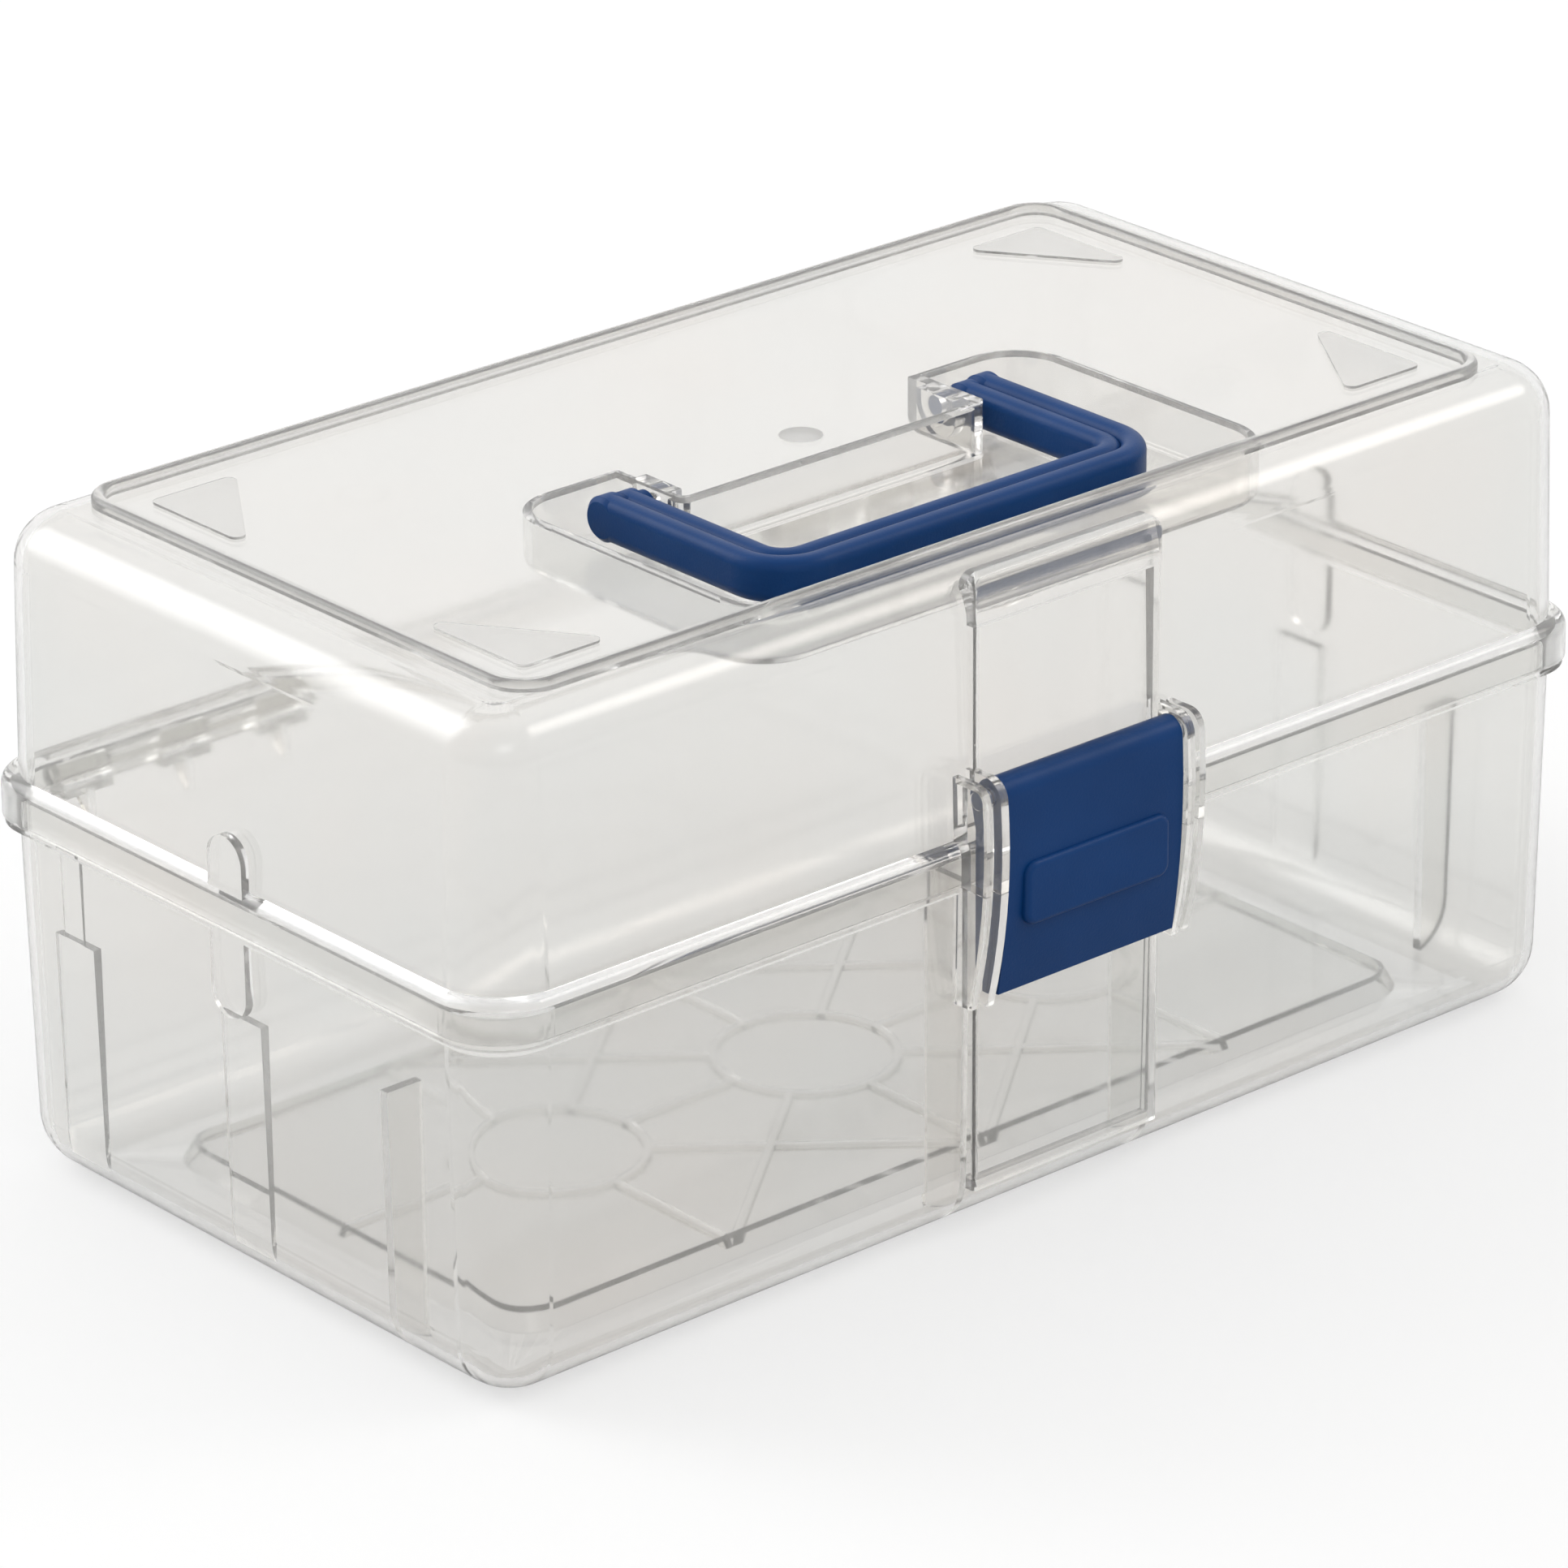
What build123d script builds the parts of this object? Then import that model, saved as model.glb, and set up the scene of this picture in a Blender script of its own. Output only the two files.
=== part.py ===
from build123d import *
from math import cos, radians, sin
import os

# Clear plastic tool box: a deep tub, a domed lid on a rear hinge, a U-shaped
# handle that folds into a pocket in the lid, and a latch on the front.
# X runs along the box, the latch faces -Y, Z is up. Z = 0 is the tabletop.

# Overall form
rim_length = 330.0          # over the lid's bead, along X
rim_depth = 180.0           # over the lid's bead, along Y
parting_height = 87.0       # where lid and tub meet
lid_top_height = 158.5      # flat top of the lid
rim_corner = 14.5           # bead's corner radius in plan
shell_corner = 16.0         # corner radius of both shells at the parting
parting_gap = 0.2           # between the lid's skirt and the tub's flange

# Moulded walls
wall = 2.0
tub_draft = 1.0             # degrees, tub narrows downwards
lid_draft = 1.4             # degrees, lid narrows upwards
tub_bottom_round = 14.0
lid_top_round = 12.0

# Closing rim: the tub's lip stands inside the lid's skirt
skirt_wall = 1.9
lip_clearance = 0.4
lip_height = 6.0
bead_height = 10.4
bead_round = 3.6
flange_height = 1.6
flange_inset = 0.6

# Floor of the tub: a raised plateau inside a flat foot ring
plateau_inset_x = 29.0      # from the rim's end to the plateau's edge
plateau_inset_y = 28.0
plateau_rise = 5.0
plateau_corner = 12.0
plateau_slope = 30.0        # degrees from vertical
floor_rib = 2.0
floor_rib_height = 1.6
ring_radius = 22.5
ring_pitch = 76.0

# Rests inside the short walls
rest_drop = 22.0            # rests end this far below the parting
centre_post_width = 14.0
back_post_inset = 30.0      # from the rim's back to the post's middle
post_depth = 2.6
fin_inset = 42.0            # from the rim's front to the fin's face
fin_depth = 10.0
fin_thickness = 2.4

# Arched tabs on the short walls, across the rim
tab_width = 12.0
tab_stand = 2.1
tab_above = 22.0
tab_below = 21.0

# Front panel behind the latch
panel_margin = 1.7          # panel's edge beyond the latch's
panel_stand = 1.2           # how far it stands proud of the wall at the rim
panel_bottom = 11.5
panel_top_drop = 1.0        # below the lid's top
panel_side_round = 1.0
panel_top_round = 3.0
brace_depth = 14.0          # ribs inside the tub, behind the panel's sides
brace_thickness = 2.0

# Stacking ridge and corner pads on the lid
ridge_inset_x = 20.5
ridge_inset_y = 13.5
ridge_width = 3.2
ridge_height = 2.5
ridge_corner = 10.0
pad_inset_x = 11.5          # from the ridge's outer face
pad_inset_y = 12.5
pad_leg_x = 24.0
pad_leg_y = 35.0
pad_height = 0.6
pad_corner = 2.0

# Handle, folded forward in its pocket
grip_length = 118.0         # over the handle's arms
grip_reach = 59.0           # from the pivot to the front of the grip
ridge_outer = 6.0           # width of the handle's outer ridge
ridge_inner = 5.9           # width of its inner ridge
ridge_overlap = 0.4
grip_height = 10.6
inner_drop = 0.5            # the inner ridge is this much lower, above and below
grip_corner = 15.0
grip_proud = 0.4            # folded handle above the lid's top
handle_pin = 5.0            # diameter
pin_clearance = 0.05        # radial running clearance of every pivot
pin_reach = 5.0             # pin inside its holder
holder_radius = 6.0

# Pocket for the handle, wrapped round a centre block
pocket_inset = 17.0         # from the rim's front to the pocket's front face
pocket_side = 17.0          # free width beside the handle
pocket_front = 13.0         # free width in front of the grip
pocket_back = 5.0           # free depth behind the arms' ends
pocket_floor_gap = 2.4      # under the folded handle
pocket_corner = 12.0
block_gap = 2.2             # between the centre block and each arm
block_front = 12.0          # from the pivot to the block's front
block_corner = 2.0
tray_round = 3.0

# Latch
latch_half = 26.3
latch_skin = 2.4
latch_drop = 26.0           # lower edge below the parting
latch_rise = 21.0           # pivot above the parting
latch_stand = 8.5           # face at mid height, ahead of the panel
latch_foot_stand = 5.9      # face at the lower edge, ahead of the panel
latch_knuckle = 4.1         # radius of the rounded top, about the pivot
latch_panel_gap = 0.3
trunnion = 4.0              # diameter
trunnion_reach = 3.4
finger_pad_length = 43.0
finger_pad_height = 15.0
finger_pad_drop = 2.7       # its middle below the parting
finger_pad_stand = 1.6
finger_pad_round = 1.3
catch_half = 18.0
catch_depth = 1.8
catch_thickness = 2.0
catch_rise = 6.5            # above the latch's lower edge
catch_gap = 0.3

# Ears each side of the latch
ear_gap = 0.5
ear_plate = 2.2
ear_groove = 2.0
ear_groove_depth = 2.6
ear_outer = 1.8
ear_margin = 1.0            # ear's edge beyond the latch's
ear_drop = 28.5             # lower edge below the parting

# Rear hinge
knuckle_radius = 4.25
knuckle_length = 13.5
knuckle_gap = 0.3
knuckle_count = 5
hinge_inset = 58.0          # from the rim's end to the middle of the group
hinge_rim_gap = 0.5
hinge_pin = 3.0             # diameter
pin_head_radius = 2.6
pin_head_length = 1.4
gusset_thickness = 2.0
gusset_drop = 9.0

# Worked out from the values above
rim_x = rim_length / 2
rim_y = rim_depth / 2
shell_inset = skirt_wall + lip_clearance
shell_x = rim_x - shell_inset
shell_y = rim_y - shell_inset
socket_corner = shell_corner + lip_clearance
lip_top = parting_height + lip_height
skirt_bottom = parting_height + parting_gap / 2
flange_top = parting_height - parting_gap / 2
bead_top = parting_height + bead_height
rest_height = parting_height - rest_drop
latch_foot = parting_height - latch_drop
latch_pivot_z = parting_height + latch_rise
finger_pad_z = parting_height - finger_pad_drop
catch_z = latch_foot + catch_rise
ear_foot = parting_height - ear_drop
back_post_y = rim_y - back_post_inset
fin_y = fin_inset - rim_y
panel_half = latch_half + panel_margin
panel_y = shell_y + panel_stand
latch_bulge = panel_y + latch_stand
latch_foot_y = panel_y + latch_foot_stand
pivot_y = pocket_inset + pocket_front + grip_reach - rim_y
pivot_z = lid_top_height + grip_proud - grip_height / 2
grip_half = grip_length / 2
grip_width = ridge_outer + ridge_inner - ridge_overlap
arm_inner = grip_half - grip_width
block_half = arm_inner - block_gap
pocket_depth = grip_height + pocket_floor_gap - grip_proud
pocket_floor = lid_top_height - pocket_depth
latch_pivot_y = -(panel_y + latch_panel_gap + latch_knuckle)
hinge_y = rim_y + hinge_rim_gap + knuckle_radius
hinge_centre_x = rim_x - hinge_inset
group_length = knuckle_count * knuckle_length + (knuckle_count - 1) * knuckle_gap


def plan(half_x, half_y, corner, z):
    """Rounded rectangle, centred on the box, at height z."""
    return Plane.XY.offset(z) * RectangleRounded(2 * half_x, 2 * half_y, corner)


def slab(x0, x1, y0, y1, z0, z1):
    """Plain block between two corners."""
    return Pos((x0 + x1) / 2, (y0 + y1) / 2, (z0 + z1) / 2) * Box(x1 - x0, y1 - y0, z1 - z0)


def drawn_form(half_x, half_y, corner, z, height, draft, edge_round):
    """Drafted block drawn up (or down, if height is negative) from a plan, its far edges rounded."""
    way = Vector(0, 0, 1) if height > 0 else Vector(0, 0, -1)
    block = extrude(plan(half_x, half_y, corner, z), amount=abs(height), dir=way, taper=draft)
    far_face = block.faces().sort_by(Axis.Z)[-1 if height > 0 else 0]
    return fillet(far_face.edges(), edge_round)


def side_profile(points_yz, x0, x1):
    """Closed outline in Y and Z, extruded from x0 to x1."""
    outline = Polyline(*[(x0, y, z) for y, z in points_yz], close=True)
    return extrude(make_face(outline), amount=x1 - x0, dir=(1, 0, 0))


def x_rod(radius, x0, x1, y, z):
    """Cylinder along X."""
    return Pos((x0 + x1) / 2, y, z) * Rot(0, 90, 0) * Cylinder(radius, x1 - x0)


def sum_of(parts):
    """One fused shape."""
    whole = parts[0]
    for part in parts[1:]:
        whole += part
    return whole


def both_ends(piece):
    """A piece and its mirror image at the other end of the box."""
    return piece + mirror(piece, about=Plane.YZ)


def bar(start, end, width):
    """Flat strip between two points, for the floor's rib pattern."""
    way = Vector(*end) - Vector(*start)
    middle = (Vector(*end) + Vector(*start)) / 2
    turn = Vector(1, 0).get_signed_angle(way, Vector(0, 0, 1))
    return Pos(middle.X, middle.Y) * Rot(0, 0, turn) * Rectangle(way.length, width)


def floor_ribs(half_x, half_y):
    """Ribs under the plateau: rings on the centre line, tied to each other and to the edges."""
    centres = [-ring_pitch, 0, ring_pitch]
    strips = bar((-half_x, 0), (half_x, 0), floor_rib)
    for side in (-1, 1):
        for x in centres:
            strips += bar((x, 0), (x, side * half_y), floor_rib)
        for x in centres[:-1]:
            strips += bar((x, side * half_y), (x + ring_pitch, 0), floor_rib)
            strips += bar((x, 0), (x + ring_pitch, side * half_y), floor_rib)
    for x in centres:
        strips -= Pos(x, 0) * Circle(ring_radius)
    for x in centres:
        strips += Pos(x, 0) * (Circle(ring_radius) - Circle(ring_radius - floor_rib))
    strips &= RectangleRounded(2 * half_x, 2 * half_y, plateau_corner)
    return extrude(Plane.XY.offset(plateau_rise - floor_rib_height) * strips,
                   amount=floor_rib_height + wall / 2)


def ear_outline(margin):
    """Half moon beside the latch, its front edge beyond the latch's by the margin."""
    top_radius = latch_knuckle + margin
    pivot = (latch_pivot_y, latch_pivot_z)
    brow = (pivot[0] - top_radius * cos(radians(10)), pivot[1] + top_radius * sin(radians(10)))
    crown = (pivot[0], pivot[1] + top_radius)
    bulge = (-latch_bulge - margin, (latch_foot + latch_pivot_z) / 2)
    foot = (-latch_foot_y - margin + 2.0, ear_foot)
    back = -shell_y + wall / 2
    front = ThreePointArc(foot, bulge, brow)
    top = ThreePointArc(brow, (pivot[0] - top_radius * cos(radians(55)),
                               pivot[1] + top_radius * sin(radians(55))), crown)
    rest = Polyline(crown, (back, crown[1]), (back, ear_foot), foot)
    return make_face([front, top, rest])


def in_side_view(face, x0, x1):
    """A face drawn in (Y, Z) set upright and extruded from x0 to x1."""
    upright = Plane(origin=(x0, 0, 0), x_dir=(0, 1, 0), z_dir=(1, 0, 0))
    return extrude(upright * face, amount=x1 - x0)


def ears(z0, z1):
    """The pair of grooved ears, cut to the stretch between two heights."""
    start = latch_half + ear_gap
    inner = in_side_view(ear_outline(ear_margin), start, start + ear_plate)
    groove_end = start + ear_plate + ear_groove
    web = in_side_view(ear_outline(ear_margin - ear_groove_depth), start + ear_plate, groove_end)
    outer = in_side_view(ear_outline(ear_margin - 0.8), groove_end, groove_end + ear_outer)
    stretch = slab(start, groove_end + ear_outer, -rim_y - 20, -shell_y + wall, z0, z1)
    return both_ends((inner + web + outer) & stretch)


def trunnion_holes():
    """Blind bores in the ears for the latch's trunnions."""
    start = latch_half + ear_gap
    depth = latch_half + trunnion_reach + 0.3
    return both_ends(x_rod(trunnion / 2 + pin_clearance, start - 0.1, depth, latch_pivot_y, latch_pivot_z))


def front_panel(z0, z1):
    """Flat panel standing proud of the front wall."""
    block = slab(-panel_half, panel_half, -panel_y, -shell_y + wall * 2, z0, z1)
    upright = block.edges().filter_by(Axis.Z).group_by(Axis.Y)[0]
    return fillet(upright, panel_side_round)


def knuckle_spans(first):
    """X ranges of every second knuckle of the right-hand hinge group."""
    step = knuckle_length + knuckle_gap
    left = hinge_centre_x - group_length / 2
    return [(left + i * step, left + i * step + knuckle_length) for i in range(first, knuckle_count, 2)]


def knuckles(first, z0, z1):
    """Hinge knuckles with webs back to the wall between two heights."""
    parts = []
    for x0, x1 in knuckle_spans(first):
        parts.append(x_rod(knuckle_radius, x0, x1, hinge_y, parting_height))
        parts.append(slab(x0, x1, rim_y - skirt_wall, hinge_y, z0, z1))
    return both_ends(sum_of(parts))


def pin_bores():
    """Clearance bores through both hinge groups."""
    x0 = hinge_centre_x - group_length / 2 - 1
    x1 = hinge_centre_x + group_length / 2 + 1
    return both_ends(x_rod(hinge_pin / 2 + pin_clearance, x0, x1, hinge_y, parting_height))


def tab(z0, z1, x_face):
    """Arched tab on a short wall, round at whichever end is away from the rim."""
    radius = tab_width / 2
    up = z1 > z0
    turn = z1 - radius if up else z1 + radius
    body = slab(x_face - tab_stand - wall, x_face, -radius, radius, min(z0, turn), max(z0, turn))
    return both_ends(body + x_rod(radius, x_face - tab_stand - wall, x_face, 0, turn))


def base_tub():
    """Tub with lip, flange, floor plateau, rests, panel, lower ears and hinge knuckles."""
    outside = drawn_form(shell_x, shell_y, shell_corner, lip_top, -lip_top, tub_draft, tub_bottom_round)
    inside = drawn_form(shell_x - wall, shell_y - wall, shell_corner - wall, lip_top,
                        wall - lip_top, tub_draft, tub_bottom_round - wall)
    inset = flange_inset
    flange = extrude(plan(rim_x - inset, rim_y - inset, rim_corner - inset, flange_top), amount=-flange_height)
    panel = front_panel(panel_bottom, flange_top)
    tabs = tab(flange_top, parting_height - tab_below, rim_x - inset)
    tub = outside + flange + panel + tabs - inside
    relief = slab(-panel_half + wall, panel_half - wall, -panel_y + wall, -shell_y + 2 * wall,
                  panel_bottom + wall, flange_top - flange_height)
    tub -= relief
    tub += rests(outside)
    half_x = rim_x - plateau_inset_x
    half_y = rim_y - plateau_inset_y
    plateau = extrude(plan(half_x + wall, half_y + wall, plateau_corner + wall, 0),
                      amount=plateau_rise + wall, taper=plateau_slope)
    recess = extrude(plan(half_x, half_y, plateau_corner, 0), amount=plateau_rise, taper=plateau_slope)
    tub = tub + plateau - recess + (floor_ribs(half_x, half_y) & plateau)
    tub += ears(ear_foot, flange_top)
    tub += slab(-catch_half, catch_half, -panel_y - catch_depth, -panel_y + 1, catch_z, catch_z + catch_thickness)
    tub += knuckles(0, parting_height - knuckle_radius, flange_top - 0.1)
    tub += gussets()
    return tub - pin_bores()


def rests(outside):
    """Posts, fins and braces inside the tub, cut off at its outer skin."""
    face = shell_x - wall
    half = centre_post_width / 2
    centre = slab(face - post_depth, face + 1, -half, half, wall, rest_height)
    back = slab(face - post_depth, face + 1, back_post_y - half, back_post_y + half, wall, rest_height - 2)
    neck = slab(face - 1, face + 1, back_post_y - half / 2, back_post_y + half / 2, rest_height - 4,
                flange_top - flange_height)
    fin = slab(face - fin_depth, face + 1, fin_y - fin_thickness, fin_y, wall, rest_height)
    brace = slab(panel_half - brace_thickness / 2, panel_half + brace_thickness / 2,
                 -shell_y + wall / 2, -shell_y + wall / 2 + brace_depth, wall, flange_top - 1)
    return both_ends(centre + back + neck + fin + brace) & outside


def gussets():
    """Triangular stiffeners under the tub's hinge knuckles."""
    top = parting_height - knuckle_radius + 1
    wall_y = shell_y - wall / 2
    parts = []
    for x0, x1 in knuckle_spans(0):
        middle = (x0 + x1) / 2
        parts.append(side_profile([(wall_y, top), (hinge_y, top), (wall_y, top - gusset_drop)],
                                  middle - gusset_thickness / 2, middle + gusset_thickness / 2))
    return both_ends(sum_of(parts))


def pocket_outline(grow):
    """U-shaped plan of the pocket, grown outwards by a wall where asked."""
    side = grip_half + pocket_side + grow
    front = pivot_y - grip_reach - pocket_front - grow
    back = pivot_y + grip_height / 2 + pocket_back + grow
    bowl = Pos(0, (front + back) / 2) * RectangleRounded(2 * side, back - front, pocket_corner + grow)
    block_back = back + 5
    front_edge = pivot_y - block_front + grow
    block = Pos(0, (front_edge + block_back) / 2) * RectangleRounded(
        2 * (block_half - grow), block_back - front_edge, block_corner)
    return bowl - block


def corner_pads():
    """Raised right triangles inside the stacking ridge's corners."""
    x = rim_x - ridge_inset_x - pad_inset_x
    y = rim_y - ridge_inset_y - pad_inset_y
    outline = make_face(Polyline((x, y), (x - pad_leg_x, y), (x, y - pad_leg_y), close=True))
    outline = fillet(outline.vertices(), pad_corner)
    pad = extrude(Plane.XY.offset(lid_top_height - wall / 2) * outline, amount=wall / 2 + pad_height)
    pads = both_ends(pad)
    return pads + mirror(pads, about=Plane.XZ)


def stacking_ridge():
    """Rounded bead round the lid's top that nests under the next box's foot ring."""
    half_x = rim_x - ridge_inset_x
    half_y = rim_y - ridge_inset_y
    low = lid_top_height - wall
    height = wall + ridge_height
    ring = extrude(plan(half_x, half_y, ridge_corner, low), amount=height)
    ring -= extrude(plan(half_x - ridge_width, half_y - ridge_width, ridge_corner - ridge_width, low),
                    amount=height)
    return fillet(ring.edges().group_by(Axis.Z)[-1], ridge_width * 0.42)


def lid():
    """Domed lid with bead, stacking ridge, handle pocket, upper ears and hinge knuckles."""
    dome_height = lid_top_height - skirt_bottom
    outside = drawn_form(shell_x, shell_y, shell_corner, skirt_bottom, dome_height, lid_draft, lid_top_round)
    inside = drawn_form(shell_x - wall, shell_y - wall, shell_corner - wall, skirt_bottom,
                        dome_height - wall, lid_draft, lid_top_round - wall)
    bead = extrude(plan(rim_x, rim_y, rim_corner, skirt_bottom), amount=bead_top - skirt_bottom)
    bead = fillet(bead.edges().group_by(Axis.Z)[-1], bead_round)
    socket = extrude(plan(rim_x - skirt_wall, rim_y - skirt_wall, socket_corner, skirt_bottom),
                     amount=lip_top + 1 - skirt_bottom)
    panel_top = lid_top_height - panel_top_drop
    panel = front_panel(skirt_bottom, panel_top)
    panel = fillet(panel.edges().group_by(Axis.Z)[-1].group_by(Axis.Y)[0], panel_top_round)
    tabs = tab(bead_top - bead_round, parting_height + tab_above, rim_x - flange_inset)
    body = outside + bead + panel + tabs + ears(skirt_bottom, lid_top_height) - inside - socket
    relief = slab(-panel_half + wall, panel_half - wall, -panel_y + wall, -shell_y + 2 * wall,
                  bead_top + wall, panel_top - lid_top_round)
    body -= relief
    tray = extrude(Plane.XY.offset(lid_top_height - wall / 2) * pocket_outline(wall),
                   amount=-(pocket_depth + wall / 2))
    tray = fillet(tray.edges().group_by(Axis.Z)[0], tray_round)
    hollow = extrude(Plane.XY.offset(lid_top_height + 0.5) * pocket_outline(0), amount=-(pocket_depth + 0.5))
    body = body + stacking_ridge() + corner_pads() + tray + pin_holders() - hollow
    body -= both_ends(x_rod(handle_pin / 2 + pin_clearance, block_half - pin_reach - 1, block_half + 0.1,
                            pivot_y, pivot_z))
    body -= trunnion_holes()
    body += knuckles(1, skirt_bottom + 0.1, parting_height + knuckle_radius)
    return body - pin_bores()


def pin_holders():
    """Bosses inside the ends of the centre block that carry the handle's pins."""
    x0 = block_half - pin_reach
    rod = x_rod(holder_radius, x0, block_half - wall / 2, pivot_y, pivot_z)
    hanger = slab(x0, block_half - wall / 2, pivot_y - holder_radius, pivot_y + holder_radius,
                  pivot_z, lid_top_height - wall / 2)
    return both_ends(rod & slab(0, rim_x, -rim_y, rim_y, 0, lid_top_height - 0.5)) + both_ends(hanger)


def grip_ridge(outset, width, height):
    """One rounded ridge of the handle: a U in plan, outset inside the handle's outer line."""
    half = grip_half - outset
    front = pivot_y - grip_reach + outset
    corner = grip_corner - outset
    back = pivot_y
    solid_u = Pos(0, (front + back) / 2) * Rectangle(2 * half, back - front)
    solid_u = fillet(solid_u.vertices().group_by(Axis.Y)[0], corner)
    hole_half = half - width
    hole = Pos(0, (front + width + back) / 2) * Rectangle(2 * hole_half, back - front - width)
    hole = fillet(hole.vertices().group_by(Axis.Y)[0], max(corner - width, 2.0))
    bar_u = extrude(Plane.XY.offset(pivot_z - height / 2) * (solid_u - hole), amount=height)
    flats = bar_u.faces().filter_by(Axis.Z)
    long_edges = [edge for face in flats for edge in face.edges() if edge.center().Y < back - 0.01]
    bar_u = fillet(long_edges, width * 0.46)
    return bar_u + both_ends(arm_end(half, width, height))


def arm_end(half, width, height):
    """Round end of an arm, about the pivot axis."""
    end = x_rod(height / 2, half - width, half, pivot_y, pivot_z)
    return chamfer(end.edges().filter_by(GeomType.CIRCLE), width * 0.18)


def handle():
    """U-shaped handle of two ridges, with pins that turn in the centre block."""
    inner_height = grip_height - 2 * inner_drop
    outset = ridge_outer - ridge_overlap
    body = grip_ridge(0, ridge_outer, grip_height) + grip_ridge(outset, ridge_inner, inner_height)
    washer = x_rod(handle_pin / 2 + 1.2, block_half + 0.3, arm_inner + 1, pivot_y, pivot_z)
    pin = x_rod(handle_pin / 2, block_half - pin_reach + 0.4, arm_inner + 1, pivot_y, pivot_z)
    return body + both_ends(washer + pin)


def latch_outline(shrink, back):
    """Side view of the latch: bulged face, round top about the pivot, open back."""
    radius = latch_knuckle - shrink
    pivot = (latch_pivot_y, latch_pivot_z)
    foot = (-latch_foot_y + shrink, latch_foot)
    brow = (pivot[0] - radius, pivot[1])
    bulge = (-latch_bulge + shrink, (latch_foot + latch_pivot_z) / 2)
    front = ThreePointArc(foot, bulge, brow)
    top = ThreePointArc(brow, (pivot[0], pivot[1] + radius), (pivot[0] + radius, pivot[1]))
    rest = Polyline((pivot[0] + radius, pivot[1]), (-back, latch_pivot_z - 8), (-back, latch_foot), foot)
    return make_face([front, top, rest])


def latch():
    """Shell with cheeks, trunnions, finger pad and a lower lip."""
    back = rim_y + 1.0
    shell = in_side_view(latch_outline(0, back), -latch_half, latch_half)
    hollow = in_side_view(latch_outline(latch_skin, back - 10), -latch_half + latch_skin, latch_half - latch_skin)
    lip_tip = panel_y + catch_depth + catch_gap
    lip = slab(-catch_half, catch_half, -latch_foot_y, -lip_tip, latch_foot + 1, latch_foot + 4)
    pad_plan = Plane(origin=(0, -latch_foot_y + latch_skin / 2, finger_pad_z), x_dir=(1, 0, 0), z_dir=(0, -1, 0))
    pad_depth = latch_bulge + finger_pad_stand - latch_foot_y + latch_skin / 2
    pad = extrude(pad_plan * RectangleRounded(finger_pad_length, finger_pad_height, 3.0), amount=pad_depth)
    pad = fillet(pad.edges().group_by(Axis.Y)[0], finger_pad_round)
    trunnions = both_ends(x_rod(trunnion / 2, latch_half - latch_skin, latch_half + trunnion_reach,
                                latch_pivot_y, latch_pivot_z))
    return shell - hollow + lip + pad + trunnions


def hinge_rod():
    """Rod through the right-hand hinge group, with a head at its outer end."""
    x0 = hinge_centre_x - group_length / 2
    x1 = hinge_centre_x + group_length / 2 + 0.2
    shank = x_rod(hinge_pin / 2, x0, x1 + 0.2, hinge_y, parting_height)
    head = x_rod(pin_head_radius, x1, x1 + pin_head_length, hinge_y, parting_height)
    return shank + fillet(head.edges().group_by(Axis.X)[-1], 0.6)


def save(shape, name):
    """Write one piece and say how large it is."""
    export_step(shape, "parts/" + name + ".step")
    print(name, "volume", round(shape.volume / 1000, 2), "cm3")


os.makedirs("parts", exist_ok=True)
save(base_tub(), "base_tub")
save(lid(), "lid")
save(handle(), "handle")
save(latch(), "latch")
right_rod = hinge_rod()
save(right_rod, "hinge_rod_right")
save(mirror(right_rod, about=Plane.YZ), "hinge_rod_left")
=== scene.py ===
# %% [markdown]
# The object is a clear injection-moulded tool box with a blue carrying handle and a
# blue latch. Every rigid piece is already modelled at its real size, so this lesson
# is about light and surface: how walls of clear plastic are made to read in front of
# a white background, and how two blue mouldings get their fine satin texture. The
# first cell loads the imported pieces.

import math

import bpy
from mathutils import Matrix, Vector

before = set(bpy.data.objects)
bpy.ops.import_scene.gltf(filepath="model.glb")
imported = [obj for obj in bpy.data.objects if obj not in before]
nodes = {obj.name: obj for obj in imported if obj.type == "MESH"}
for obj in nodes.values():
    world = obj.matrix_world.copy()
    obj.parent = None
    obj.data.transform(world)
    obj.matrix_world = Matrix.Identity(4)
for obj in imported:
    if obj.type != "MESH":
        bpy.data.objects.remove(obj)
bpy.context.view_layer.update()
print("pieces:", sorted(nodes))

# %% [markdown]
# Colours are written for a plain Standard view. Clear plastic needs light to pass
# through many walls, one behind the other: a look through this box crosses up to
# eight surfaces before it reaches the backdrop, and a ray caught inside a rib turns
# many times more before it gets out. Each turn inside a wall counts as a glossy
# bounce, so glossy bounces get the same limit. With only eight of them, the rims
# and ribs were drawn with a much darker line.

# %% View and light paths
LIGHT_BOUNCES = 24
DIFFUSE_BOUNCES = 3

scene = bpy.context.scene
scene.view_settings.view_transform = "Standard"
scene.cycles.max_bounces = LIGHT_BOUNCES
scene.cycles.transmission_bounces = LIGHT_BOUNCES
scene.cycles.glossy_bounces = LIGHT_BOUNCES
scene.cycles.diffuse_bounces = DIFFUSE_BOUNCES
print("light may cross", scene.cycles.transmission_bounces, "surfaces")

# %% [markdown]
# The camera stands to the left of the latch and looks down a little, with a long
# lens, so the box's edges stay almost parallel. Its place and lens were worked out
# from the box's edges in the photograph. A camera is turned by three unit vectors:
# the one to its right, the one up, and the one that points back from the subject.

# %% Camera
CAMERA_PLACE = Vector((-1.1116, -1.2656, 0.8024))
CAMERA_RIGHT = Vector((0.75067, -0.66063, -0.00741))
CAMERA_BACK = Vector((-0.60406, -0.69085, 0.39728))
LENS_MM = 185.1
SENSOR_MM = 36.0


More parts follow.
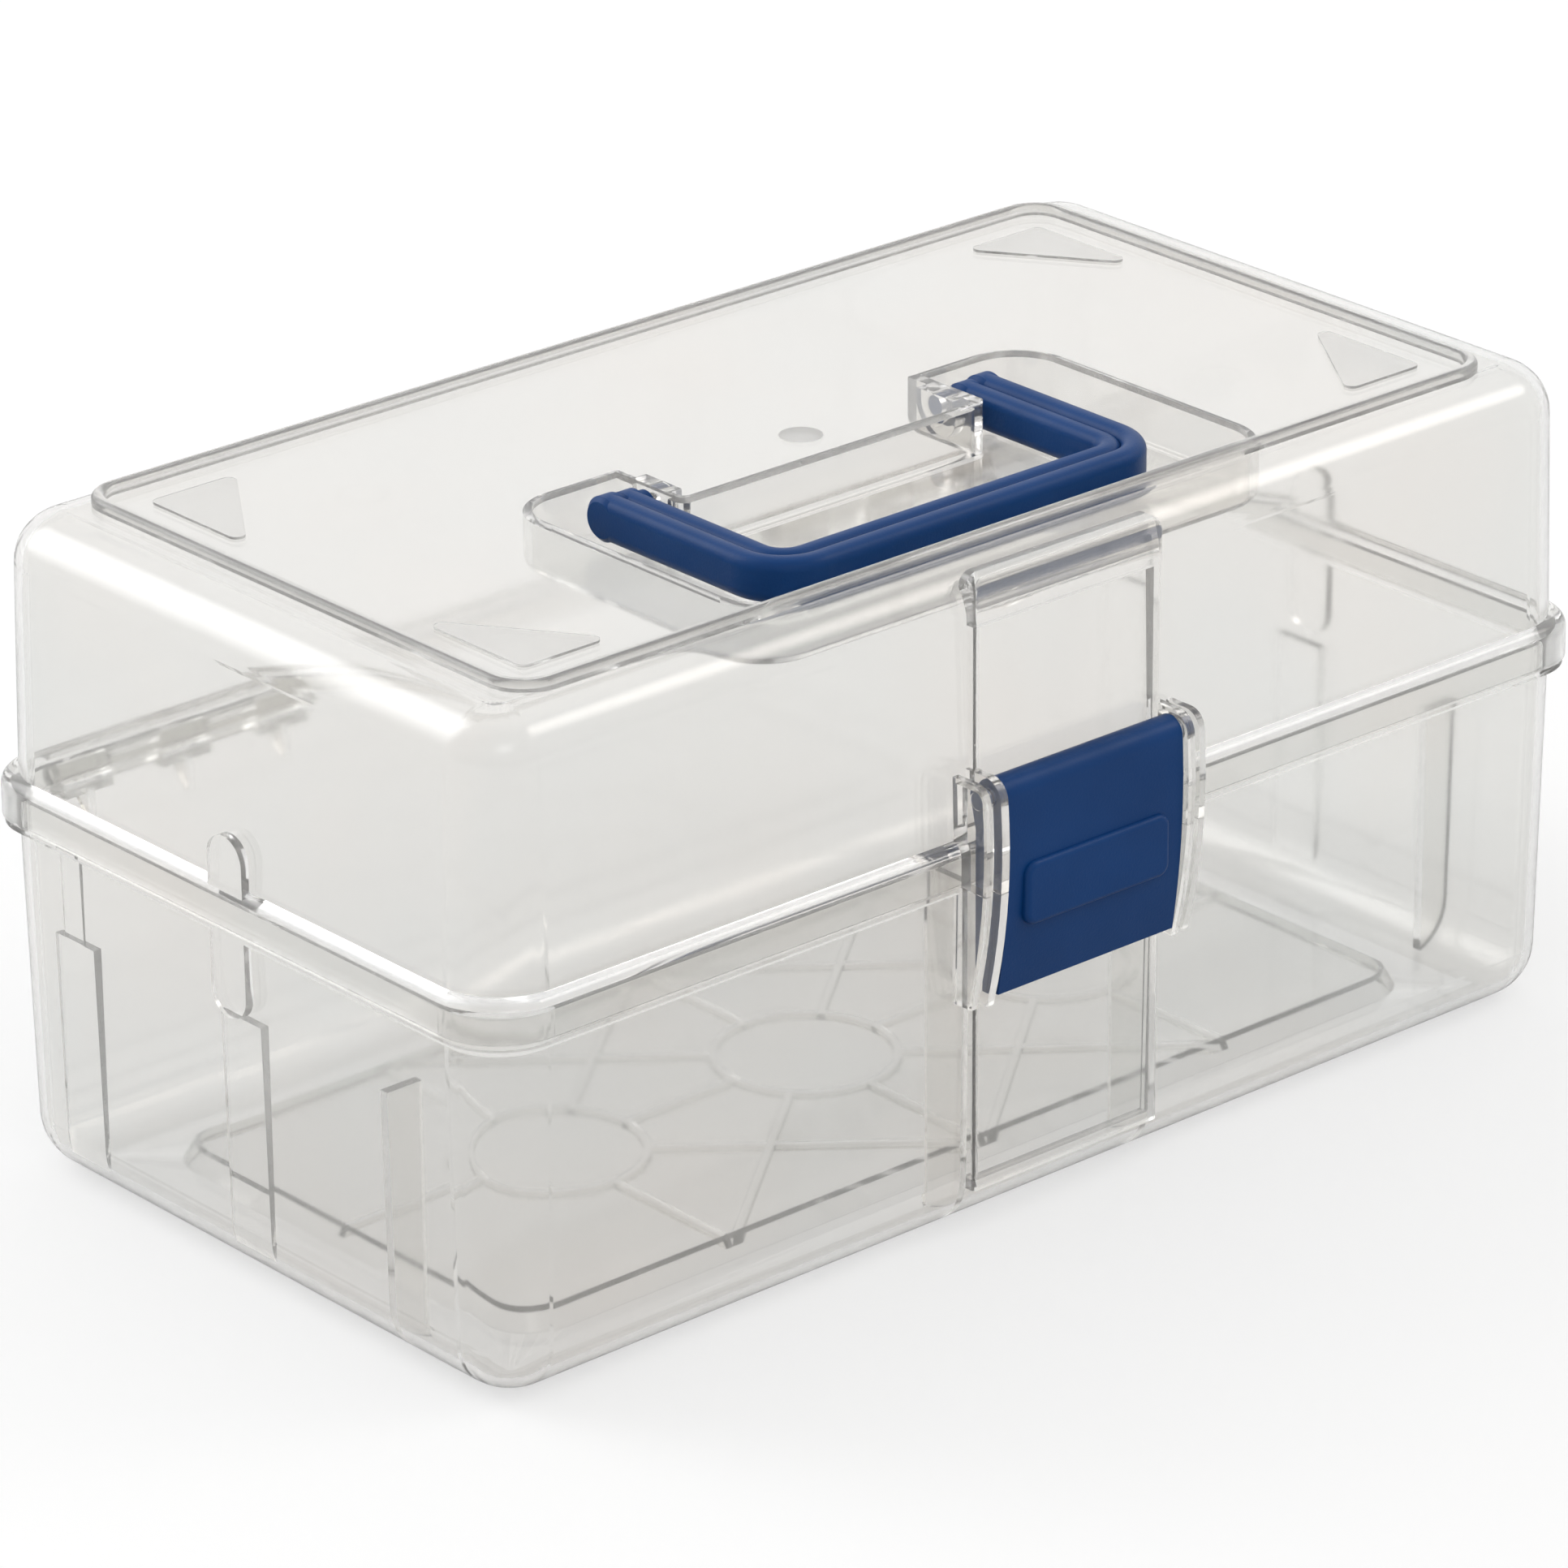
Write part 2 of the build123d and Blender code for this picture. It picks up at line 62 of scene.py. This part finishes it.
def add_camera():
    """Camera whose axes are right, up = back x right, and back."""
    data = bpy.data.cameras.new("camera")
    data.lens = LENS_MM
    data.sensor_width = SENSOR_MM
    data.clip_start = 0.1
    data.clip_end = 50.0
    camera = bpy.data.objects.new("camera", data)
    scene.collection.objects.link(camera)
    back = CAMERA_BACK.normalized()
    right = (CAMERA_RIGHT - CAMERA_RIGHT.dot(back) * back).normalized()
    up = back.cross(right)
    turn = Matrix((right, up, back)).transposed().to_4x4()
    camera.matrix_world = Matrix.Translation(CAMERA_PLACE) @ turn
    scene.camera = camera
    return camera


camera = add_camera()
print("camera at", [round(v, 3) for v in camera.location])

# %% [markdown]
# Three small helpers keep the node trees readable. One makes a Math node, one asks the
# Light Path node what kind of ray has arrived, and one blends two levels by a share.

# %% Node helpers
def math_node(tree, operation, first, second=None):
    """Math node whose inputs are sockets or plain numbers."""
    node = tree.nodes.new("ShaderNodeMath")
    node.operation = operation
    for slot, value in enumerate((first, second)):
        if value is None:
            continue
        if isinstance(value, (int, float)):
            node.inputs[slot].default_value = value
        else:
            tree.links.new(value, node.inputs[slot])
    return node.outputs[0]


def either_ray(tree, rays):
    """1 for a ray of one of the named kinds, 0 for any other."""
    path = tree.nodes.new("ShaderNodeLightPath")
    seen = path.outputs[rays[0]]
    for ray in rays[1:]:
        seen = math_node(tree, "MAXIMUM", seen, path.outputs[ray])
    return seen


def blend(tree, share, low, high):
    """Level that goes from low to high as the share goes from 0 to 1."""
    level = tree.nodes.new("ShaderNodeMapRange")
    for label, value in (("Value", share), ("To Min", low), ("To Max", high)):
        if isinstance(value, float):
            level.inputs[label].default_value = value
        else:
            tree.links.new(value, level.inputs[label])
    return level.outputs["Result"]


print("node helpers:", math_node.__name__, either_ray.__name__, blend.__name__)

# %% [markdown]
# The backdrop is white for the camera and for what shines through the walls, which
# is what the Light Path node sorts out. The light that falls on the object is a plain
# level, at which colours render as they are written. What polished faces mirror is
# the white backdrop behind the box and a dim room in front of it. That difference
# makes a clear wall show at all: in a room that is white all round, it would vanish.
# A ray through a slightly rough wall counts as glossy too, so transmission goes last.
# The room turns into the backdrop along a smooth gradient, wide on both sides.

# %% World
STUDIO_LIGHT = 0.8
BACKDROP_WHITE = 1.0
ROOM_IN_FRONT = 0.3
BACKDROP_WAY = (0.66, 0.75, 0.0)
GRADIENT_HALF = 0.5


def make_world():
    """Plain light on the object, white behind it, and a dim room in front in its gloss."""
    world = bpy.data.worlds.new("studio")
    scene.world = world
    world.use_nodes = True
    tree = world.node_tree
    background = tree.nodes["Background"]
    background.inputs["Color"].default_value = (1, 1, 1, 1)
    way = tree.nodes.new("ShaderNodeTexCoord")
    towards = tree.nodes.new("ShaderNodeVectorMath")
    towards.operation = "DOT_PRODUCT"
    towards.inputs[1].default_value = BACKDROP_WAY
    tree.links.new(way.outputs["Generated"], towards.inputs[0])
    behind = tree.nodes.new("ShaderNodeMapRange")
    behind.interpolation_type = "SMOOTHSTEP"
    behind.inputs["From Min"].default_value = -GRADIENT_HALF
    behind.inputs["From Max"].default_value = GRADIENT_HALF
    tree.links.new(towards.outputs["Value"], behind.inputs["Value"])
    mirrored = blend(tree, behind.outputs["Result"], ROOM_IN_FRONT, BACKDROP_WHITE)
    level = blend(tree, either_ray(tree, ["Is Glossy Ray"]), STUDIO_LIGHT, mirrored)
    through = either_ray(tree, ["Is Camera Ray", "Is Transmission Ray"])
    level = blend(tree, through, level, BACKDROP_WHITE)
    tree.links.new(level, background.inputs["Strength"])
    return world


make_world()
print("studio light", STUDIO_LIGHT, "backdrop", BACKDROP_WHITE)

# %% [markdown]
# The floor is a large white sheet. It keeps a soft shadow under the box. For the
# camera and through the clear walls it glows as well, so that the sheet fades into the
# backdrop and the tub's plateau doesn't look down into darkness. In reflections it
# glows less, which draws the clear walls' outlines in grey and keeps the blue deep.

# %% Floor
FLOOR_HALF = 4.0
FLOOR_WHITE = 0.45
FLOOR_GLOW = 0.56
GLOW_IN_GLOSS = 0.2


def make_floor():
    """Flat square, half the given width each way."""
    mesh = bpy.data.meshes.new("floor")
    s = FLOOR_HALF
    mesh.from_pydata([(-s, -s, 0), (s, -s, 0), (s, s, 0), (-s, s, 0)], [], [(0, 1, 2, 3)])
    floor = bpy.data.objects.new("floor", mesh)
    scene.collection.objects.link(floor)
    material = bpy.data.materials.new("floor_white")
    material.use_nodes = True
    tree = material.node_tree
    shader = tree.nodes["Principled BSDF"]
    shader.inputs["Base Color"].default_value = (FLOOR_WHITE, FLOOR_WHITE, FLOOR_WHITE, 1)
    shader.inputs["Roughness"].default_value = 0.9
    shader.inputs["Specular IOR Level"].default_value = 0.0
    shader.inputs["Emission Color"].default_value = (1, 1, 1, 1)
    glow = blend(tree, either_ray(tree, ["Is Glossy Ray"]), 0.0, GLOW_IN_GLOSS)
    through = either_ray(tree, ["Is Camera Ray", "Is Transmission Ray"])
    glow = blend(tree, through, glow, FLOOR_GLOW)
    tree.links.new(glow, shader.inputs["Emission Strength"])
    mesh.materials.append(material)
    return floor


floor = make_floor()
print("floor", [round(v, 1) for v in floor.dimensions], "m")

# %% [markdown]
# Three soft boxes draw the highlights. A mirror-like edge shows a lamp where its
# normal lies half way between the camera and the lamp. So the broad white band on the
# lid's left edge needs a tall box behind and to the left, and the thin warm band on
# its front edge a small box to the right. The third is a weak fill near the camera.
# The cloth of a real soft box is brightest in its middle. The lamp's own flat
# coordinates u and v give that fall-off, 4u(1-u) times 4v(1-v), whose mean is 4/9.

# %% Soft boxes
BOX_MIDDLE = Vector((0.0, 0.0, 0.09))
PEAK_TO_ONE = 16.0


def soften_towards_edges(data):
    """Strength = 4u(1-u) x 4v(1-v), brightest in the lamp's middle."""
    data.use_nodes = True
    tree = data.node_tree
    flat = tree.nodes.new("ShaderNodeNewGeometry")
    axes = tree.nodes.new("ShaderNodeSeparateXYZ")
    tree.links.new(flat.outputs["Parametric"], axes.inputs[0])
    strength = PEAK_TO_ONE
    for axis in ("X", "Y"):
        strength = math_node(tree, "MULTIPLY", axes.outputs[axis], strength)
        other_side = math_node(tree, "SUBTRACT", 1.0, axes.outputs[axis])
        strength = math_node(tree, "MULTIPLY", other_side, strength)
    tree.links.new(strength, tree.nodes["Emission"].inputs["Strength"])


def add_soft_box(name, way, distance, width, height, radiance, colour):
    """Rectangular lamp that faces the box; power = pi x area x radiance in its middle."""
    data = bpy.data.lights.new(name, "AREA")
    data.shape = "RECTANGLE"
    data.size = width
    data.size_y = height
    data.energy = math.pi * width * height * radiance
    data.color = colour
    soften_towards_edges(data)
    lamp = bpy.data.objects.new(name, data)
    scene.collection.objects.link(lamp)
    lamp.location = BOX_MIDDLE + Vector(way).normalized() * distance
    lamp.rotation_mode = "QUATERNION"
    lamp.rotation_quaternion = (BOX_MIDDLE - lamp.location).to_track_quat("-Z", "Y")
    print(name, "watts", round(data.energy, 1))
    return lamp


WHITE = (1.0, 1.0, 1.0)
WARM_WHITE = (1.0, 0.95, 0.9)

add_soft_box("tall_left_back", way=(-0.42, 0.69, 0.56), distance=2.2,
             width=1.5, height=2.2, radiance=3.2, colour=WHITE)
add_soft_box("small_right", way=(0.62, -0.42, 0.66), distance=2.2,
             width=1.2, height=0.9, radiance=3.2, colour=WARM_WHITE)
add_soft_box("fill_front", way=(-0.35, -0.75, 0.55), distance=2.6,
             width=1.6, height=1.0, radiance=1.0, colour=WHITE)

# %% [markdown]
# Effects that more than one finish uses are node groups, built once. A group is made
# from named sockets, and each material places it with its own values. They read
# Object coordinates, so a pattern stays on its piece when the lid opens.

# %% Group helper
def new_group(name, inputs, outputs):
    """Empty shader group with float inputs given as name: default, and typed outputs."""
    group = bpy.data.node_groups.new(name, "ShaderNodeTree")
    for label, value in inputs.items():
        socket = group.interface.new_socket(label, in_out="INPUT", socket_type="NodeSocketFloat")
        socket.default_value = value
    for label, kind in outputs.items():
        group.interface.new_socket(label, in_out="OUTPUT", socket_type=kind)
    return group, group.nodes.new("NodeGroupInput"), group.nodes.new("NodeGroupOutput")


def object_noise(group, given, scale_label, detail):
    """Noise in Object coordinates, its scale per metre taken from an input."""
    place = group.nodes.new("ShaderNodeTexCoord")
    noise = group.nodes.new("ShaderNodeTexNoise")
    noise.inputs["Detail"].default_value = detail
    group.links.new(place.outputs["Object"], noise.inputs["Vector"])
    group.links.new(given.outputs[scale_label], noise.inputs["Scale"])
    return noise

# %% [markdown]
# The first group is relief: a bump whose height is soft noise. Long and shallow, it
# is the slight waviness that the mould leaves in a clear wall. Short and sharp, it is
# the spark-eroded satin of the blue mouldings.

# %% Relief group
def relief_group():
    """Normal tilted by noise of a given scale per metre and height in millimetres."""
    inputs = {"Scale per metre": 25.0, "Height mm": 0.02}
    group, given, made = new_group("mould_relief", inputs, {"Normal": "NodeSocketVector"})
    noise = object_noise(group, given, "Scale per metre", 1.5)
    bump = group.nodes.new("ShaderNodeBump")
    metres = math_node(group, "MULTIPLY", given.outputs["Height mm"], 0.001)
    group.links.new(noise.outputs["Fac"], bump.inputs["Height"])
    group.links.new(metres, bump.inputs["Distance"])
    group.links.new(bump.outputs["Normal"], made.inputs["Normal"])
    return group


mould_relief = relief_group()
print("group", mould_relief.name)

# %% [markdown]
# The second group is drift: a value that wanders slowly between two limits. It steers
# the gloss, because handling and the mould's polish never leave it quite even, and it
# blends the two tints of a stressed clear wall, a faint rose and a cooler grey.

# %% Drift group
NOISE_LOW = 0.3
NOISE_HIGH = 0.7


def drift_group():
    """Low to High after soft noise, whose middle part is stretched to both limits."""
    inputs = {"Scale per metre": 12.0, "Low": 0.0, "High": 1.0}
    group, given, made = new_group("surface_drift", inputs, {"Value": "NodeSocketFloat"})
    noise = object_noise(group, given, "Scale per metre", 2.0)
    spread = group.nodes.new("ShaderNodeMapRange")
    spread.inputs["From Min"].default_value = NOISE_LOW
    spread.inputs["From Max"].default_value = NOISE_HIGH
    group.links.new(noise.outputs["Fac"], spread.inputs["Value"])
    group.links.new(given.outputs["Low"], spread.inputs["To Min"])
    group.links.new(given.outputs["High"], spread.inputs["To Max"])
    group.links.new(spread.outputs["Result"], made.inputs["Value"])
    return group


surface_drift = drift_group()
print("group", surface_drift.name)

# %% [markdown]
# The third group is a pin mark: the hairline circle where an ejector pin met the
# plastic, or the frosted spot where it was injected. The distance from the mark's
# centre, in plan, gives both a ring for the bump and a mask for the frost.

# %% Pin mark group
def pin_mark_group():
    """Ring = 1 within the line's half width of the radius. Inside = 1 within the radius."""
    inputs = {"Centre X mm": 0.0, "Centre Y mm": 0.0, "Radius mm": 5.0}
    inputs.update({"Line mm": 0.5, "Above Z mm": 157.5})
    outputs = {"Ring": "NodeSocketFloat", "Inside": "NodeSocketFloat"}
    group, given, made = new_group("pin_mark", inputs, outputs)
    place = group.nodes.new("ShaderNodeTexCoord")
    axes = group.nodes.new("ShaderNodeSeparateXYZ")
    group.links.new(place.outputs["Object"], axes.inputs[0])
    squares = []
    for axis in ("X", "Y"):
        along = math_node(group, "MULTIPLY", axes.outputs[axis], 1000.0)
        off = math_node(group, "SUBTRACT", along, given.outputs[f"Centre {axis} mm"])
        squares.append(math_node(group, "MULTIPLY", off, off))
    distance = math_node(group, "SQRT", math_node(group, "ADD", squares[0], squares[1]))
    z = math_node(group, "MULTIPLY", axes.outputs["Z"], 1000.0)
    on_top = math_node(group, "GREATER_THAN", z, given.outputs["Above Z mm"])
    off_line = math_node(group, "SUBTRACT", distance, given.outputs["Radius mm"])
    off_line = math_node(group, "ABSOLUTE", off_line)
    half_line = math_node(group, "MULTIPLY", given.outputs["Line mm"], 0.5)
    ring = math_node(group, "LESS_THAN", off_line, half_line)
    inside = math_node(group, "LESS_THAN", distance, given.outputs["Radius mm"])
    group.links.new(math_node(group, "MULTIPLY", ring, on_top), made.inputs["Ring"])
    group.links.new(math_node(group, "MULTIPLY", inside, on_top), made.inputs["Inside"])
    return group


pin_mark = pin_mark_group()
print("group", pin_mark.name)

# %% [markdown]
# Clear styrene is a hard, glass-like plastic with an index of 1.57. A small part of
# the light is scattered at each surface, which the transmission weight leaves to the
# diffuse part: that is the faint milkiness of a moulded wall, and it keeps edges grey
# instead of black. The base colour dims the light a little at every surface.

# %% Clear plastic
CLEAR_IOR = 1.57
CLEAR_SHARE = 0.94
ROSE_TINT = (0.957, 0.940, 0.918, 1)
COOL_TINT = (0.939, 0.943, 0.932, 1)


def place_group(tree, group, **values):
    """Put a shared group into a material; value names use _ for a space."""
    node = tree.nodes.new("ShaderNodeGroup")
    node.node_tree = group
    for label, value in values.items():
        node.inputs[label.replace("_", " ")].default_value = value
    return node


def clear_plastic(name):
    """Glass-like plastic with wandering tint and gloss, and the nodes that a lid adds to."""
    material = bpy.data.materials.new(name)
    material.use_nodes = True
    tree = material.node_tree
    shader = tree.nodes["Principled BSDF"]
    shader.inputs["IOR"].default_value = CLEAR_IOR
    shader.inputs["Transmission Weight"].default_value = CLEAR_SHARE
    tint = tree.nodes.new("ShaderNodeMix")
    tint.data_type = "RGBA"
    tint.inputs["A"].default_value = ROSE_TINT
    tint.inputs["B"].default_value = COOL_TINT
    drift = place_group(tree, surface_drift, Scale_per_metre=11.0)
    tree.links.new(drift.outputs["Value"], tint.inputs["Factor"])
    tree.links.new(tint.outputs["Result"], shader.inputs["Base Color"])
    gloss = place_group(tree, surface_drift, Scale_per_metre=30.0, Low=0.03, High=0.07)
    tree.links.new(gloss.outputs["Value"], shader.inputs["Roughness"])
    relief = place_group(tree, mould_relief, Scale_per_metre=22.0, Height_mm=0.05)
    tree.links.new(relief.outputs["Normal"], shader.inputs["Normal"])
    return material, shader, relief, gloss


def finish_nodes(material, names):
    """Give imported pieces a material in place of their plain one."""
    for name in names:
        nodes[name].data.materials.clear()
        nodes[name].data.materials.append(material)


tub_plastic = clear_plastic("clear_tub")[0]
finish_nodes(tub_plastic, ["base_tub", "hinge_rod_left", "hinge_rod_right"])
print("clear plastic, index", CLEAR_IOR, "on the tub and the hinge rods")

# %% [markdown]
# The lid has the same plastic, with its marks on top: two ejector circles on a
# diagonal and the round frosted spot of the gate in the middle of the centre block.
# The rings raise a bump on top of the mould's wave, and the frost roughens the gate.
# The stacking ridge and the four corner pads stand above the lid's top face. They are
# hard to polish in the mould, so everything above that height is a little frosted.

# %% Lid
EJECTOR_X_MM = 95.0
EJECTOR_Y_MM = 36.7
EJECTOR_RADIUS_MM = 5.5
GATE_Y_MM = -1.0
GATE_RADIUS_MM = 5.0
GATE_FROST = 0.35
RIDGE_FOOT_MM = 158.65
RIDGE_FROST = 0.2
RING_HEIGHT_M = 0.00012


def lid_plastic():
    """Clear plastic plus rings and the frosted gate."""
    material, shader, relief, gloss = clear_plastic("clear_lid")
    tree = material.node_tree
    gate = place_group(tree, pin_mark, Centre_Y_mm=GATE_Y_MM, Radius_mm=GATE_RADIUS_MM)
    rings = gate.outputs["Ring"]
    for side in (-1, 1):
        pin = place_group(tree, pin_mark, Radius_mm=EJECTOR_RADIUS_MM)
        pin.inputs["Centre X mm"].default_value = side * EJECTOR_X_MM
        pin.inputs["Centre Y mm"].default_value = -side * EJECTOR_Y_MM
        rings = math_node(tree, "ADD", rings, pin.outputs["Ring"])
    bump = tree.nodes.new("ShaderNodeBump")
    bump.inputs["Distance"].default_value = RING_HEIGHT_M
    tree.links.new(rings, bump.inputs["Height"])
    tree.links.new(relief.outputs["Normal"], bump.inputs["Normal"])
    tree.links.new(bump.outputs["Normal"], shader.inputs["Normal"])
    frost = math_node(tree, "MULTIPLY", gate.outputs["Inside"], GATE_FROST)
    place = tree.nodes.new("ShaderNodeTexCoord")
    axes = tree.nodes.new("ShaderNodeSeparateXYZ")
    tree.links.new(place.outputs["Object"], axes.inputs[0])
    on_ridge = math_node(tree, "GREATER_THAN", axes.outputs["Z"], RIDGE_FOOT_MM * 0.001)
    frost = math_node(tree, "ADD", frost, math_node(tree, "MULTIPLY", on_ridge, RIDGE_FROST))
    rough = math_node(tree, "ADD", frost, gloss.outputs["Value"])
    tree.links.new(rough, shader.inputs["Roughness"])
    return material


finish_nodes(lid_plastic(), ["lid"])
print("lid: two ejector circles, a frosted gate and a frosted ridge")

# %% [markdown]
# The handle and the latch are one deep blue, through and through. Their mould was
# eroded to a fine even satin, so highlights are broad and soft. The colour and gloss
# drift a little, and the grains of the relief are about half a millimetre wide.

# %% Blue plastic
BLUE_DEEP = (0.0020, 0.0430, 0.1700, 1)
BLUE_LIGHT = (0.0030, 0.0500, 0.1950, 1)
BLUE_SPECULAR = 0.22


def blue_plastic():
    """Satin blue plastic."""
    material = bpy.data.materials.new("blue_satin")
    material.use_nodes = True
    tree = material.node_tree
    shader = tree.nodes["Principled BSDF"]
    shader.inputs["Specular IOR Level"].default_value = BLUE_SPECULAR
    blue = tree.nodes.new("ShaderNodeMix")
    blue.data_type = "RGBA"
    blue.inputs["A"].default_value = BLUE_DEEP
    blue.inputs["B"].default_value = BLUE_LIGHT
    drift = place_group(tree, surface_drift, Scale_per_metre=40.0)
    tree.links.new(drift.outputs["Value"], blue.inputs["Factor"])
    tree.links.new(blue.outputs["Result"], shader.inputs["Base Color"])
    gloss = place_group(tree, surface_drift, Scale_per_metre=90.0, Low=0.36, High=0.44)
    tree.links.new(gloss.outputs["Value"], shader.inputs["Roughness"])
    grain = place_group(tree, mould_relief, Scale_per_metre=1800.0, Height_mm=0.04)
    tree.links.new(grain.outputs["Normal"], shader.inputs["Normal"])
    return material


finish_nodes(blue_plastic(), ["handle", "latch"])
print("blue satin on the handle and the latch")

# %% [markdown]
# The last call updates the view layer.

# %% Update the view layer
bpy.context.view_layer.update()
